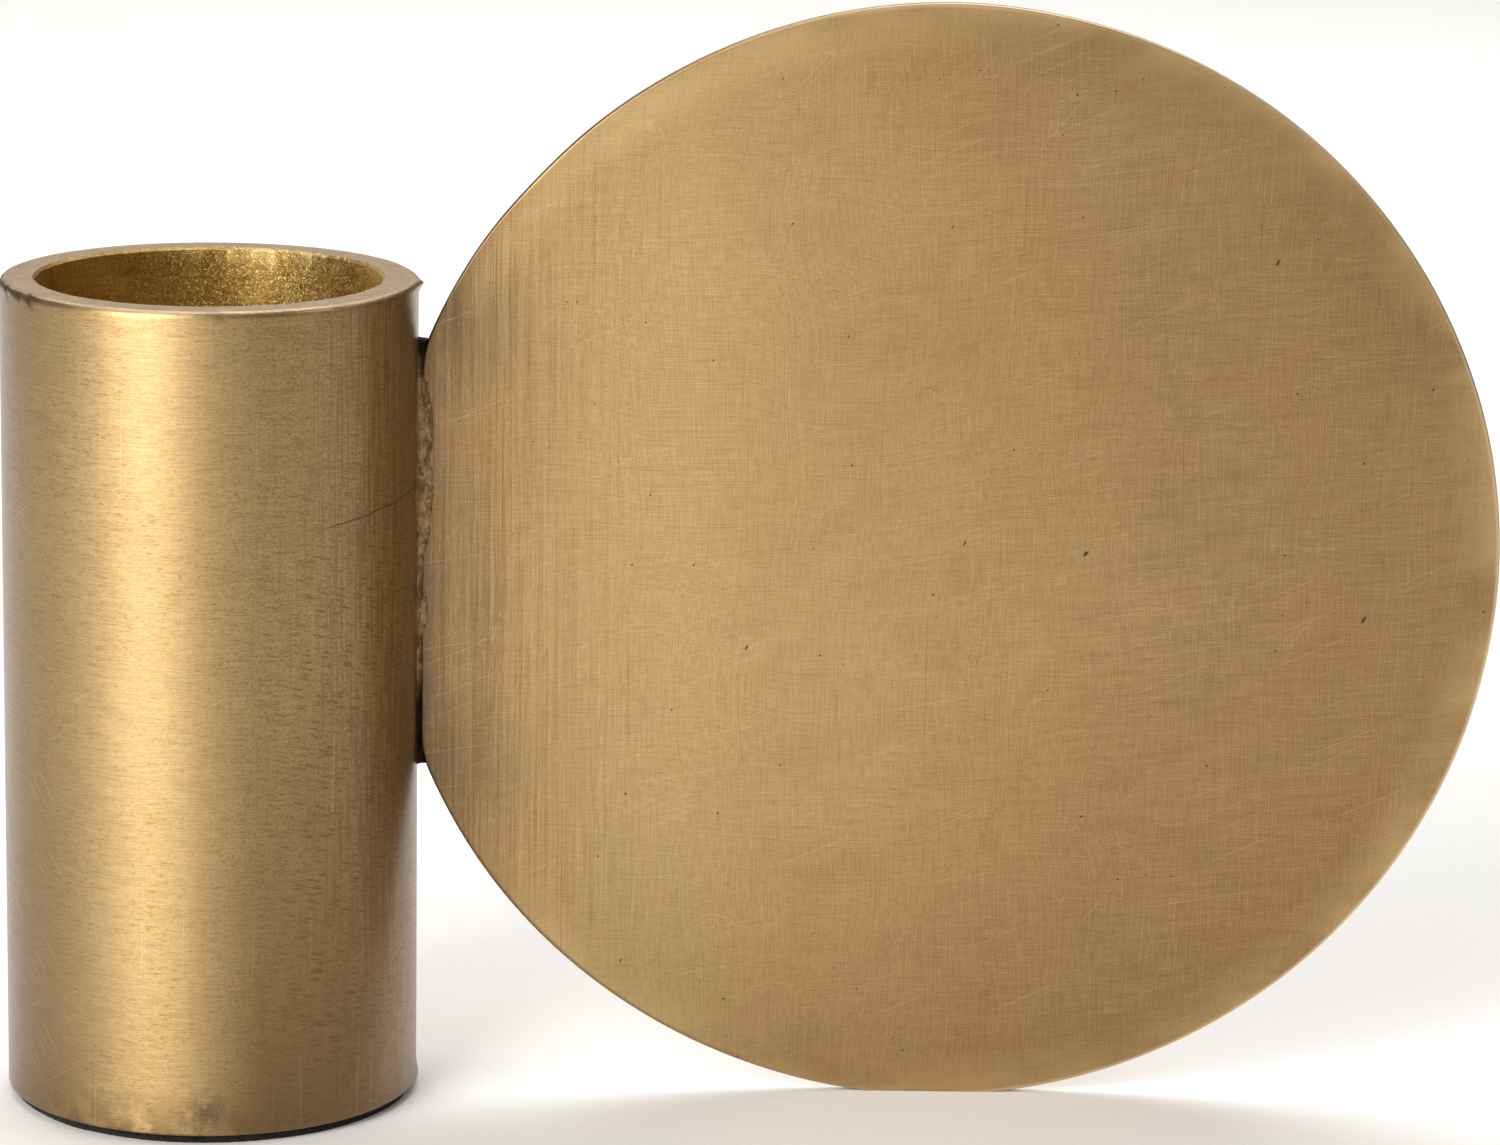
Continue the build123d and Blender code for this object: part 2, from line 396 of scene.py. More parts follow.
    colour = layered(tree, BRASS,
                     (between(tree, clouds, 0.30, 0.72, 0.35, 0.75), BRASS_PALE),
                     (between(tree, patches, 0.55, 0.72, 0.0, 0.28), BRASS_RED),
                     (between(tree, patches, 0.28, 0.48, 0.14, 0.0), PATINA),
                     (between(tree, bands, 0.30, 0.55, 0.07, 0.0), PATINA),
                     (between(tree, fine, 0.34, 0.52, 0.30, 0.0), PATINA),
                     (between(tree, speckle, 0.34, 0.52, 0.24, 0.0), PATINA),
                     (between(tree, fine, 0.54, 0.74, 0.0, 0.22), BRASS_BRIGHT),
                     (dark_dashes, PATINA),
                     (side_streaks, PATINA),
                     # painted shade: the right half darker, most of all low down
                     (times(tree, painted_shade_by_height, right_half), PATINA),
                     (mottled_and_shade, PATINA_BROWN),
                     (painted_shade_left, PATINA),
                     (low_left_shade, PATINA),
                     (times(tree, chatter, 0.66), PATINA_BROWN),
                     (smudge, SOOT_AND_SHADE),
                     (foot_darkening, PATINA),
                     (times(tree, rubbed, 0.15), BRASS_WORN),
                     (times(tree, light, 0.25), BRASS_WORN),
                     (times(tree, gouge, 0.95), PATINA_BLACK),
                     (times(tree, dots, 0.8), PATINA_BLACK),
                     (scuffed, SCUFF))
    tree.links.new(colour, shader.inputs["Base Color"])
    rough = maths(tree, "ADD", between(tree, clouds, 0.3, 0.7, 0.42, 0.44),
                  between(tree, fine, 0.35, 0.6, 0.05, -0.02))
    tree.links.new(rough, shader.inputs["Roughness"])
    height = maths(tree, "ADD", times(tree, fine, 0.5), times(tree, dashes, 0.5))
    height = maths(tree, "ADD", height, times(tree, upright, joint_side, 1.2))
    height = maths(tree, "SUBTRACT", height, times(tree, maths(tree, "ADD", dots, chatter), 1.2))
    height = maths(tree, "SUBTRACT", height, times(tree, gouge, 3.0))
    relief(tree, shader, height, 0.011)
    return finish


def ground_brass():
    """The flat of the rim: ground across and left rough, and greyer than the wall."""
    finish, tree, shader = new_finish("rim_brass", **{
        "Metallic": 1.0, "Coat Weight": 0.5, "Coat Roughness": 0.40, "Coat IOR": 1.5})
    place = node(tree, "TexCoord").outputs["Object"]
    axes = node(tree, "SeparateXYZ", {"Vector": place})
    marks = grain(tree, place, (0.7, 4, 4), turn=(0.0, 0.0, 0.5), detail=5.0)
    clouds = grain(tree, place, (5, 5, 5), detail=4.0, start=(4.0, 0.0, 0.0))
    light = strokes(tree, flat(tree, axes.outputs["X"], axes.outputs["Y"]), 5.0, 0.30, 52, 0.12)
    worn = node(tree, "Attribute", attribute_name="nick").outputs["Fac"]
    colour = layered(tree, RIM_DARK,
                     (between(tree, marks, 0.30, 0.70), RIM_LIGHT),
                     (between(tree, clouds, 0.46, 0.66, 0.0, 0.50), RIM_STAIN),
                     (times(tree, light, 0.35), RIM_SCRATCH),
                     (times(tree, worn, 0.8), SCUFF))
    tree.links.new(colour, shader.inputs["Base Color"])
    tree.links.new(between(tree, clouds, 0.35, 0.65, 0.50, 0.62), shader.inputs["Roughness"])
    relief(tree, shader, marks, 0.02)
    return finish


def gold_paint():
    """Gold paint full of fine metal flakes, each catching the light alone, with painted glints and a
    painted highlight at the lip on the right, and painted shade on the left.
    """
    finish, tree, shader = new_finish("gold_paint", **{
        "Metallic": 1.0, "Coat Weight": 0.3, "Coat Roughness": 0.2})
    place = node(tree, "TexCoord").outputs["Object"]
    axes = node(tree, "SeparateXYZ", {"Vector": place})
    # Painted light: the right of the bore is lit, and the left is painted in shade.
    painted_lit_side = between(tree, axes.outputs["X"], -14 * MM, 6 * MM)
    flakes = node(tree, "TexVoronoi", {"Vector": place, "Scale": FLAKES_PER_METRE})
    facets = node(tree, "SeparateColor", {"Color": flakes.outputs["Color"]})
    clouds = grain(tree, place, (6, 6, 6), detail=4.0)
    brushed = grain(tree, place, (5, 5, 0.5), detail=3.0)
    near_lip = between(tree, axes.outputs["Z"], RIM_Z - 2.4 * MM, RIM_Z - 0.9 * MM, 0.0, 0.8)
    # Painted glints on single flakes, more of them on the lit right side.
    bright = times(tree, between(tree, facets.outputs["Red"], 0.72, 0.92),
                   between(tree, painted_lit_side, 0.0, 1.0, 0.25, 1.0))
    colour = layered(tree, GOLD_DULL,
                     (between(tree, clouds, 0.36, 0.64), GOLD),
                     (between(tree, brushed, 0.36, 0.54, 0.45, 0.0), GOLD_DARK_AND_SHADE),
                     # painted shade on the left of the bore
                     (between(tree, painted_lit_side, 0.0, 1.0, 0.45, 0.0), GOLD_DARK_AND_SHADE),
                     # painted highlight along the lip, on the right side only
                     (times(tree, painted_lit_side, near_lip, between(tree, clouds, 0.40, 0.56)), GOLD_LIP_HIGHLIGHT),
                     (bright, GOLD_GLINT),
                     (between(tree, facets.outputs["Green"], 0.0, 0.30, 0.50, 0.0), GOLD_GAP))
    tree.links.new(colour, shader.inputs["Base Color"])
    tree.links.new(between(tree, facets.outputs["Blue"], 0.0, 1.0, 0.30, 0.60), shader.inputs["Roughness"])
    relief(tree, shader, maths(tree, "ADD", facets.outputs["Red"], times(tree, brushed, 0.35)), 0.07, 0.9)
    return finish


def arc(centre, radius, start, end, steps):
    """Points round a circle from one angle to another, in degrees."""
    angles = [radians(start + (end - start) * step / steps) for step in range(steps + 1)]
    return [(centre[0] + radius * cos(angle), centre[1] + radius * sin(angle)) for angle in angles]


def run(start, end, spacing):
    """Points between two others, both left out."""
    count = max(int(hypot(end[0] - start[0], end[1] - start[1]) / spacing), 1)
    return [(start[0] + (end[0] - start[0]) * step / count, start[1] + (end[1] - start[1]) * step / count)
            for step in range(1, count)]


def turned(outline, steps, closed=True):
    """Turns an outline of (radius, height) points on the Z axis, as on a lathe."""
    shape = bmesh.new()
    corners = [shape.verts.new((radius, 0, height)) for radius, height in outline]
    edges = [shape.edges.new(pair) for pair in zip(corners, corners[1:])]
    if closed:
        edges.append(shape.edges.new((corners[-1], corners[0])))
    bmesh.ops.spin(shape, geom=corners + edges, cent=(0, 0, 0), axis=(0, 0, 1), angle=2 * pi, steps=steps,
                   use_merge=True)
    bmesh.ops.remove_doubles(shape, verts=shape.verts, dist=1e-7)
    bmesh.ops.recalc_face_normals(shape, faces=shape.faces)
    return shape


def finished(name, shape, finishes, sharp=40.0):
    """Makes the object: smooth shading, with a hard line where faces meet at more than sharp degrees."""
    if shape.calc_volume(signed=True) < 0:
        bmesh.ops.reverse_faces(shape, faces=shape.faces)    # so that every face looks outward
    data = bpy.data.meshes.new(name)
    shape.to_mesh(data)
    shape.free()
    for finish in finishes:
        data.materials.append(finish)
    for face in data.polygons:
        face.use_smooth = True
    data.set_sharp_from_angle(angle=radians(sharp))
    piece = bpy.data.objects.new(name, data)
    bpy.context.scene.collection.objects.link(piece)
    return piece


def hump(distance, width):
    """1 at no distance, falling smoothly to nothing at about twice the width."""
    return exp(-(distance / width) ** 2)


def wrapped(angle):
    """The same angle between -pi and pi."""
    return (angle + pi) % (2 * pi) - pi


rim_arc_centre = (TUBE_RADIUS - RIM_ROUND, RIM_Z - RIM_ROUND)
foot_arc_centre = (TUBE_RADIUS - FOOT_ROUND, FOOT_Z + FOOT_ROUND)
wall_foot = (TUBE_RADIUS, FOOT_Z + FOOT_ROUND)
wall_low = (TUBE_RADIUS, FOOT_Z + 3 * MM)
wall_high = (TUBE_RADIUS, RIM_Z - 3 * MM)
wall_rim = (TUBE_RADIUS, RIM_Z - RIM_ROUND)
bevel_top = (CUP_RADIUS + RIM_BEVEL, RIM_Z)
bevel_foot = (CUP_RADIUS, RIM_Z - RIM_BEVEL)
ledge_out = (CUP_RADIUS, CUP_FLOOR_Z)
ledge_in = (STOCK_BORE_RADIUS, CUP_FLOOR_Z)
outline = [(STOCK_BORE_RADIUS, FOOT_Z)] + arc(foot_arc_centre, FOOT_ROUND, -90, 0, 4)
outline += run(wall_foot, wall_low, 0.6 * MM) + [wall_low] + run(wall_low, wall_high, 12 * MM) + [wall_high]
outline += run(wall_high, wall_rim, 0.25 * MM) + arc(rim_arc_centre, RIM_ROUND, 0, 90, 5)
outline += run((TUBE_RADIUS - RIM_ROUND, RIM_Z), bevel_top, 0.4 * MM) + [bevel_top]
outline += run(bevel_top, bevel_foot, 0.12 * MM) + [bevel_foot] + run(bevel_foot, ledge_out, 1.5 * MM)
outline += [ledge_out, ledge_in]
tube_shape = turned(outline, TUBE_STEPS)
nick_layer = tube_shape.verts.layers.float.new("nick")
for corner in tube_shape.verts:
    x, y, z = corner.co
    radius = hypot(x, y)
    angle = atan2(y, x)
    below_rim = RIM_Z - z
    outside = min(max((radius - (TUBE_RADIUS - WALL_SKIN)) / WALL_SKIN, 0.0), 1.0)
    grow = outside * RIM_BURR * exp(-abs(angle) / RIM_BURR_SPREAD) * hump(below_rim, 1.0 * MM)
    grow += outside * FOOT_BURR * hump(angle, FOOT_BURR_SPREAD) * hump(z - FOOT_Z, 1.2 * MM)
    if radius < CUP_RADIUS + 1.5 * RIM_BEVEL and below_rim < 2.5 * MM:
        ragged = noise.noise(Vector((3.0 * cos(angle), 3.0 * sin(angle), 0.3)) * 6.0)
        grow += RIM_RAGGED * ragged * hump(below_rim - RIM_BEVEL, 0.8 * MM)
    if outside > 0 and below_rim < 2.0 * MM:
        worn_off = max(noise.noise(Vector((cos(angle), sin(angle), 1.0)) * 9.0), 0.0)
        grow -= RIM_WEAR * worn_off * hump(below_rim, 0.6 * MM)
        for degrees_round, depth in RIM_NICKS:
            lean = radians(degrees_round) + NICK_LEAN * below_rim
            mark = depth * hump(wrapped(angle - lean), NICK_HALF_WIDTH)
            mark *= hump(below_rim - NICK_MIDDLE, NICK_HALF_HEIGHT)
            mark *= min(max(0.8 + 1.8 * noise.noise(corner.co * 700.0), 0.0), 1.3)
            grow -= NICK_DEPTH * mark
            corner[nick_layer] = min(corner[nick_layer] + 1.3 * mark, 1.0)
    corner.co.x += grow * cos(angle)
    corner.co.y += grow * sin(angle)
for face in tube_shape.faces:
    middle = face.calc_center_median()
    radius = hypot(middle.x, middle.y)
    if radius < CUP_RADIUS + RIM_BEVEL and middle.z > CUP_FLOOR_Z - 0.1 * MM:
        face.material_index = 2
    elif middle.z > RIM_Z - 0.25 * RIM_ROUND:
        face.material_index = 1
cup_tube = finished("cup_tube_brushed", tube_shape, (tube_brass(), ground_brass(), gold_paint()))
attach(cup_tube, "root")
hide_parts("cup_tube")

# --------------------------------------------------------------------------------------------------
# Candle floor: a round plate let in flush with the ledge in the tube, and painted with the cup. The
# paint has pooled in the corner against the wall.
# --------------------------------------------------------------------------------------------------
PAINT_FILLET = 0.9 * MM
PAINT_SKIN = 0.02 * MM
PAINT_RIPPLE = 0.05 * MM
FLOOR_UNDERSIDE = floor_low[2]
PLATE_RADIUS = floor_high[0]
fillet_top = (CUP_RADIUS - PAINT_SKIN, CUP_FLOOR_Z + PAINT_FILLET)
outline = [(0.0, FLOOR_UNDERSIDE), (PLATE_RADIUS, FLOOR_UNDERSIDE), (PLATE_RADIUS, CUP_FLOOR_Z), fillet_top]
outline += arc((CUP_RADIUS - PAINT_FILLET, CUP_FLOOR_Z + PAINT_FILLET), PAINT_FILLET, -10, -90, 6)
outline += run((CUP_RADIUS - PAINT_FILLET, CUP_FLOOR_Z), (0.0, CUP_FLOOR_Z + PAINT_SKIN), 0.8 * MM)
outline += [(0.0, CUP_FLOOR_Z + PAINT_SKIN)]
floor_shape = turned(outline, 180, closed=False)
for corner in floor_shape.verts:
    if corner.co.z > CUP_FLOOR_Z:
        corner.co.z += PAINT_RIPPLE * (1.0 + noise.noise(corner.co * 250.0))
candle_floor = finished("candle_floor_painted", floor_shape, (cup_tube.data.materials[2],))
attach(candle_floor, "root")
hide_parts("candle_floor")

# --------------------------------------------------------------------------------------------------
# Base plate and the two rings of filler metal inside the tube. They are bare, dull brass, and closed in
# by the felt below and the candle's floor above.
# --------------------------------------------------------------------------------------------------
ROLLED_BRIGHT = (0.46, 0.31, 0.14, 1)
ROLLED_DARK = (0.28, 0.18, 0.08, 1)
FILLER_BRIGHT = (0.44, 0.300, 0.140, 1)
FILLER_DARK = (0.13, 0.078, 0.032, 1)


def dull_brass(name, bright, dark, lumps, depth):
    """Bare metal, darker between its lumps; lumps and depth are in mm."""
    finish, tree, shader = new_finish(name, **{"Metallic": 1.0})
    place = node(tree, "TexCoord").outputs["Object"]
    skin = grain(tree, place, (lumps, lumps, lumps), detail=5.0)
    tree.links.new(tint(tree, between(tree, skin, 0.38, 0.64), dark, bright), shader.inputs["Base Color"])
    tree.links.new(between(tree, skin, 0.3, 0.7, 0.62, 0.42), shader.inputs["Roughness"])
    relief(tree, shader, skin, depth, 0.8)
    return finish


rolled_brass = dull_brass("rolled_brass", ROLLED_BRIGHT, ROLLED_DARK, 3.8, 0.10)
braze = dull_brass("braze_metal", FILLER_BRIGHT, FILLER_DARK, 0.9, 0.05)
for hidden, finish in (("base_plate", rolled_brass), ("floor_braze", braze), ("base_braze", braze)):
    slots = frame["nodes"][hidden].material_slots
    for place_in_list in range(len(slots)):
        slots[place_in_list].material = finish

# --------------------------------------------------------------------------------------------------
# Felt pad: a disc of black pressed felt, cut by hand and glued under the tube, with loose fibres at its
# edge.
# --------------------------------------------------------------------------------------------------
pad_low, pad_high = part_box("base_pad")
PAD_RADIUS = pad_high[0]
PAD_TOP = pad_high[2]
PAD_BOTTOM = pad_low[2]
PAD_SOFT_EDGE = 0.28 * MM
PAD_WAVE = 0.20 * MM         # how far the cut edge wanders
PAD_FRAY = 0.10 * MM
PAD_CUT_IN = 0.12 * MM
PAD_FIBRES = 900
FIBRE_LENGTH = 1.3 * MM
FIBRE_RADIUS = 0.022 * MM
FIBRE_HELD = 0.35 * MM       # how deep in the pad a fibre starts
FIBRE_SWING = 2.6            # radians, from left to right
FIBRE_TILT = 0.5             # radians, from low to high
FELT_BLACK = (0.004, 0.004, 0.004, 1)
FELT_DUSTY = (0.030, 0.028, 0.026, 1)


def black_felt():
    finish, tree, shader = new_finish("black_felt", **{
        "Roughness": 0.95, "Sheen Weight": 0.08, "Sheen Roughness": 0.6, "Specular IOR Level": 0.1})
    place = node(tree, "TexCoord").outputs["Object"]
    fuzz = grain(tree, place, (0.38, 0.38, 0.24), detail=4.0, roughness=0.7)
    colour = tint(tree, between(tree, fuzz, 0.40, 0.68), FELT_BLACK, FELT_DUSTY)
    tree.links.new(colour, shader.inputs["Base Color"])
    relief(tree, shader, fuzz, 0.25)
    return finish


soft = PAD_RADIUS - PAD_SOFT_EDGE
outline = [(0.0, PAD_BOTTOM)] + run((0.0, PAD_BOTTOM), (soft, PAD_BOTTOM), 3 * MM)
outline += arc((soft, PAD_BOTTOM + PAD_SOFT_EDGE), PAD_SOFT_EDGE, -90, 0, 3)
outline += arc((soft, PAD_TOP - PAD_SOFT_EDGE), PAD_SOFT_EDGE, 0, 90, 3)
outline += run((soft, PAD_TOP), (0.0, PAD_TOP), 3 * MM) + [(0.0, PAD_TOP)]
pad_shape = turned(outline, 420, closed=False)
for corner in pad_shape.verts:
    radius = hypot(corner.co.x, corner.co.y)
    if radius > 0.9 * PAD_RADIUS:
        wave = noise.noise(corner.co * 120.0) * PAD_WAVE + noise.noise(corner.co * 1700.0) * PAD_FRAY
        pull = min(wave - PAD_CUT_IN, 0.0) / radius
        corner.co.x *= 1 + pull
        corner.co.y *= 1 + pull
felt_pad = finished("felt_pad", pad_shape, (black_felt(),))
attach(felt_pad, "root")
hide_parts("base_pad")
fibre_shape = bmesh.new()
noise.seed_set(7)
for fibre in range(PAD_FIBRES):
    angle = 2 * pi * noise.random()
    start_height = PAD_BOTTOM + 0.1 * MM + (PAD_TOP - PAD_BOTTOM - 0.25 * MM) * noise.random()
    lean = (noise.random() - 0.5) * FIBRE_SWING
    reach = FIBRE_LENGTH * (0.35 + 0.65 * noise.random())
    start_radius = PAD_RADIUS - FIBRE_HELD
    strand = bmesh.ops.create_cone(fibre_shape, segments=3, radius1=FIBRE_RADIUS,
                                   radius2=0.3 * FIBRE_RADIUS, depth=reach, cap_ends=True)["verts"]
    tilt = pi / 2 + FIBRE_TILT * (noise.random() - 0.5)
    out = Matrix.Rotation(angle + lean, 4, "Z") @ Matrix.Rotation(tilt, 4, "Y")
    root = Vector((start_radius * cos(angle), start_radius * sin(angle), start_height))
    bmesh.ops.transform(fibre_shape, verts=strand, matrix=Matrix.Translation(root) @ out)
    for corner in strand:
        corner.co.z = min(max(corner.co.z, PAD_BOTTOM + 0.02 * MM), PAD_TOP)
felt_fibres = finished("felt_fibres", fibre_shape, (felt_pad.data.materials[0],))
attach(felt_fibres, "root")

# --------------------------------------------------------------------------------------------------
# Disc: cut from 2 mm brass sheet, its edges broken by hand, then brushed both ways, antiqued and
# lacquered. One side is cut straight to meet the tube, and a short flat is ground at the bottom to
# stand on.
# --------------------------------------------------------------------------------------------------
disc_low, disc_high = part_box("disc")
DISC_GROUND_OFF = 0.5 * MM   # at the bottom
DISC_RADIUS = (disc_high[2] - disc_low[2] + DISC_GROUND_OFF) / 2
DISC_FACE = disc_low[1]
DISC_THICK = disc_high[1] - disc_low[1]
DISC_EDGE_X = disc_low[0]
DISC_X = disc_high[0] - DISC_RADIUS
DISC_Z = disc_high[2] - DISC_RADIUS
DISC_STEPS = 540
CORNER_BLEND = 1.0 * MM      # rounds the two corners of the straight side
DISC_EDGE_ROUND = 0.28 * MM
DISC_ROLL_OFF = 0.22 * MM    # the faces fall away towards the edge, where they were brushed most
DISC_ROLL_WIDTH = 3.2 * MM
DISC_FACE_RINGS = [inward * MM for inward in (10.0, 8.0, 6.5, 5.3, 4.3, 3.4, 2.7, 2.0, 1.5, 1.0, 0.6)]
HAND_WOBBLE = 0.14 * MM
LOW_SPOT = 0.20 * MM         # filed too far, at one place
LOW_SPOT_ANGLE = radians(137)
LOW_SPOT_SPREAD = radians(6)
TRUE_SPREAD = radians(7)     # the far side and the top keep their full size
DISC_BRASS = (0.448, 0.284, 0.116, 1)
DISC_BRASS_PALE = (0.505, 0.338, 0.153, 1)
DISC_BRASS_RED = (0.455, 0.258, 0.110, 1)
HEAT_TINT = (0.155, 0.130, 0.118, 1)
LINE_SLIDE = 90 * MM         # how far one brushed line may slide along the next
# Painted shade in the corners between the disc and the tube, at both ends of the joint.
CORNER_SHADE_SPOTS = ((DISC_Z + 29 * MM, 0.62), (DISC_Z - 26 * MM, 0.50))   # height and strength
CORNER_SHADE_RADIUS = 12 * MM


def disc_brass():
    """Brass brushed up and down and along, so finely crosshatched. It is unpolished beside the tube."""
    finish, tree, shader = new_finish("disc_brass", **{
        "Metallic": 1.0, "Coat Weight": 0.25, "Coat Roughness": 0.3, "Coat IOR": 1.45})
    place = node(tree, "TexCoord").outputs["Object"]
    axes = node(tree, "SeparateXYZ", {"Vector": place})
    across = axes.outputs["X"]
    height_up = axes.outputs["Z"]
    plane = flat(tree, across, height_up)

    # Marks of the brush. Each fine line starts at its own height or place, and all of them sway a little.
    clouds = grain(tree, place, (52, 52, 40), turn=(0.0, radians(-20), 0.0), detail=4.0)
    patches = grain(tree, place, (17, 25, 9), turn=(0.0, radians(-10), 0.0), detail=5.0,
                    start=(2.0, 7.0, 1.0))
    sloping = grain(tree, place, (9, 25, 0.7), turn=(0.0, radians(-6), 0.0), detail=4.0)
    combed = grain(tree, place, (0.42, 25, 38), detail=4.0, roughness=0.72, start=(9.0, 0.0, 0.0))
    sway = grain(tree, place, (30, 30, 30), detail=1.0, start=(0.0, 3.0, 0.0))
    leaning = maths(tree, "ADD", across, times(tree, sway, 7 * MM))
    sagging = maths(tree, "SUBTRACT", height_up, times(tree, sway, 9 * MM))
    slid_up = maths(tree, "ADD", height_up, times(tree, grain(tree, place, (0.3, 500, 500)), LINE_SLIDE))
    slid_along = maths(tree, "ADD", across, times(tree, grain(tree, place, (500, 500, 0.3)), LINE_SLIDE))
    upright = grain(tree, flat(tree, leaning, slid_up), (0.16, 5, 1), detail=3.0, roughness=0.65)
    level = grain(tree, flat(tree, slid_along, sagging), (5, 0.16, 1), detail=3.0, roughness=0.65,
                  start=(11.0, 0.0, 0.0))

    # Where the patina is thicker, where the disc is lighter, and where shade and highlights are painted.
    near_tube = between(tree, across, DISC_EDGE_X + 2 * MM, DISC_EDGE_X + 30 * MM, 1.0, 0.0)
    unpolished = between(tree, across, DISC_EDGE_X + 1 * MM, DISC_EDGE_X + 12 * MM, 0.60, 0.0)
    # Lighter in an upright band between the tube and the middle of the disc.
    lighter_band = times(tree, between(tree, across, DISC_EDGE_X + 10 * MM, DISC_EDGE_X + 22 * MM, 0.0, 0.75),
                     between(tree, across, DISC_EDGE_X + 32 * MM, DISC_EDGE_X + 48 * MM, 1.0, 0.0))
    # The far side of the disc, which is painted in shade.
    far_side = between(tree, across, DISC_X - 12 * MM, DISC_X + 50 * MM)
    # Sloping marks, far stronger on the far side, where they also paint shade.
    sloping_marks_and_shade = times(tree, between(tree, sloping, 0.34, 0.58, 0.34, 0.0),
                         between(tree, far_side, 0.0, 0.7, 0.15, 1.0))
    combed_dark = times(tree, between(tree, combed, 0.34, 0.56, 0.80, 0.0), near_tube)
    rub_place = (DISC_X, DISC_FACE + DISC_THICK / 2, DISC_Z)
    from_middle = node(tree, "VectorMath", {0: place, 1: rub_place}, operation="DISTANCE").outputs["Value"]
    rubbed = times(tree, between(tree, patches, 0.35, 0.60),
                   between(tree, from_middle, DISC_RADIUS - 6 * MM, DISC_RADIUS - 0.5 * MM, 0.0, 0.60),
                   between(tree, across, DISC_EDGE_X + 9 * MM, DISC_EDGE_X + 16 * MM))
    edge = between(tree, from_middle, DISC_RADIUS - 0.6 * MM, DISC_RADIUS - 0.3 * MM)
    # Painted shade on the edge towards the left, and a painted highlight on the edge towards the right.
    edge_shade = times(tree, edge, between(tree, across, DISC_X - 35 * MM, DISC_X, 0.60, 0.1))
    edge_highlight = times(tree, edge, between(tree, across, DISC_X - 30 * MM, DISC_X + 12 * MM, 0.0, 0.6))
    heat = times(tree, between(tree, across, DISC_EDGE_X + 1.2 * MM, DISC_EDGE_X + 3.2 * MM, 0.50, 0.0),
                 between(tree, grain(tree, place, (2.0, 25, 9)), 0.46, 0.60))
    # Painted shade in the corners where the disc's straight side leaves the tube.
    corner_shade = [(times(tree, spot(tree, place, (DISC_EDGE_X + 3 * MM, DISC_FACE, height), CORNER_SHADE_RADIUS, 0.1),
                    between(tree, combed, 0.35, 0.60, strength, 0.5 * strength)), SOOT_AND_SHADE)
             for height, strength in CORNER_SHADE_SPOTS]

    # Scratches, nicks and pits.
    light = most(tree, strokes(tree, plane, 16.0, 0.12, 24, 0.045),
                 strokes(tree, plane, 14.0, 0.12, 50, 0.004, (0.3, 0.1, 0.0)),
                 strokes(tree, plane, 4.0, 0.12, 66, 0.001, (0.1, 0.6, 0.0)),
                 strokes(tree, plane, 30.0, 0.13, 10, 0.010, (0.7, 0.2, 0.0)))
    hairs = strokes(tree, plane, 30.0, 0.16, 90, 0.012, (0.5, 0.5, 0.0))
    dots = most(tree, strokes(tree, plane, 0.48, 0.36, 40, 0.0011, (0.5, 0.1, 0.0)),
                strokes(tree, plane, 1.5, 0.6, 62, 0.0006, (0.2, 0.9, 0.0)))

    colour = layered(tree, DISC_BRASS,
                     (between(tree, clouds, 0.34, 0.68), DISC_BRASS_PALE),
                     (between(tree, patches, 0.50, 0.70, 0.0, 0.50), DISC_BRASS_RED),
                     (between(tree, patches, 0.30, 0.48, 0.18, 0.0), PATINA),
                     (lighter_band, BRASS_PALE),
                     # painted shade: the far side darker
                     (between(tree, far_side, 0.0, 1.0, 0.0, 0.53), DARK_RED_BROWN),
                     # painted shade: darker towards the bottom
                     (between(tree, height_up, 4 * MM, 55 * MM, 0.27, 0.0), DARK_RED_BROWN),
                     # darker towards the top
                     (between(tree, height_up, 105 * MM, 132 * MM, 0.0, 0.24), DARK_RED_BROWN),
                     (sloping_marks_and_shade, PATINA),
                     (unpolished, PATINA_BROWN),
                     (combed_dark, PATINA_BROWN),
                     (between(tree, upright, 0.32, 0.52, 0.48, 0.0), PATINA),
                     (between(tree, level, 0.32, 0.52, 0.48, 0.0), PATINA),
                     (between(tree, upright, 0.52, 0.72, 0.0, 0.30), BRASS_BRIGHT),
                     (between(tree, level, 0.52, 0.72, 0.0, 0.24), BRASS_BRIGHT),
                     (rubbed, BRASS_PALE),
                     (edge_shade, PATINA_BROWN),
                     (edge_highlight, BRASS_WORN),
                     (heat, HEAT_TINT),
                     *corner_shade,
                     (times(tree, light, 0.20), BRASS_WORN),
                     (times(tree, hairs, 0.5), PATINA),
                     (times(tree, dots, 0.85), PATINA_BLACK))
    tree.links.new(colour, shader.inputs["Base Color"])
    rough = maths(tree, "ADD", between(tree, clouds, 0.3, 0.7, 0.40, 0.46),
                  between(tree, upright, 0.35, 0.6, 0.03, -0.02))
    tree.links.new(rough, shader.inputs["Roughness"])
    height = maths(tree, "ADD", upright, level)
    height = maths(tree, "ADD", height, times(tree, combed, near_tube, 2.5))
    height = maths(tree, "SUBTRACT", height, times(tree, dots, 2.0))
    height = maths(tree, "SUBTRACT", height, times(tree, light, 0.4))
    relief(tree, shader, height, 0.006)
    return finish


def soft_least(first, second, blend):
    """The smaller of two lengths, with a rounded change from one to the other."""
    share = max(blend - abs(first - second), 0.0) / blend
    return min(first, second) - share * share * blend / 4


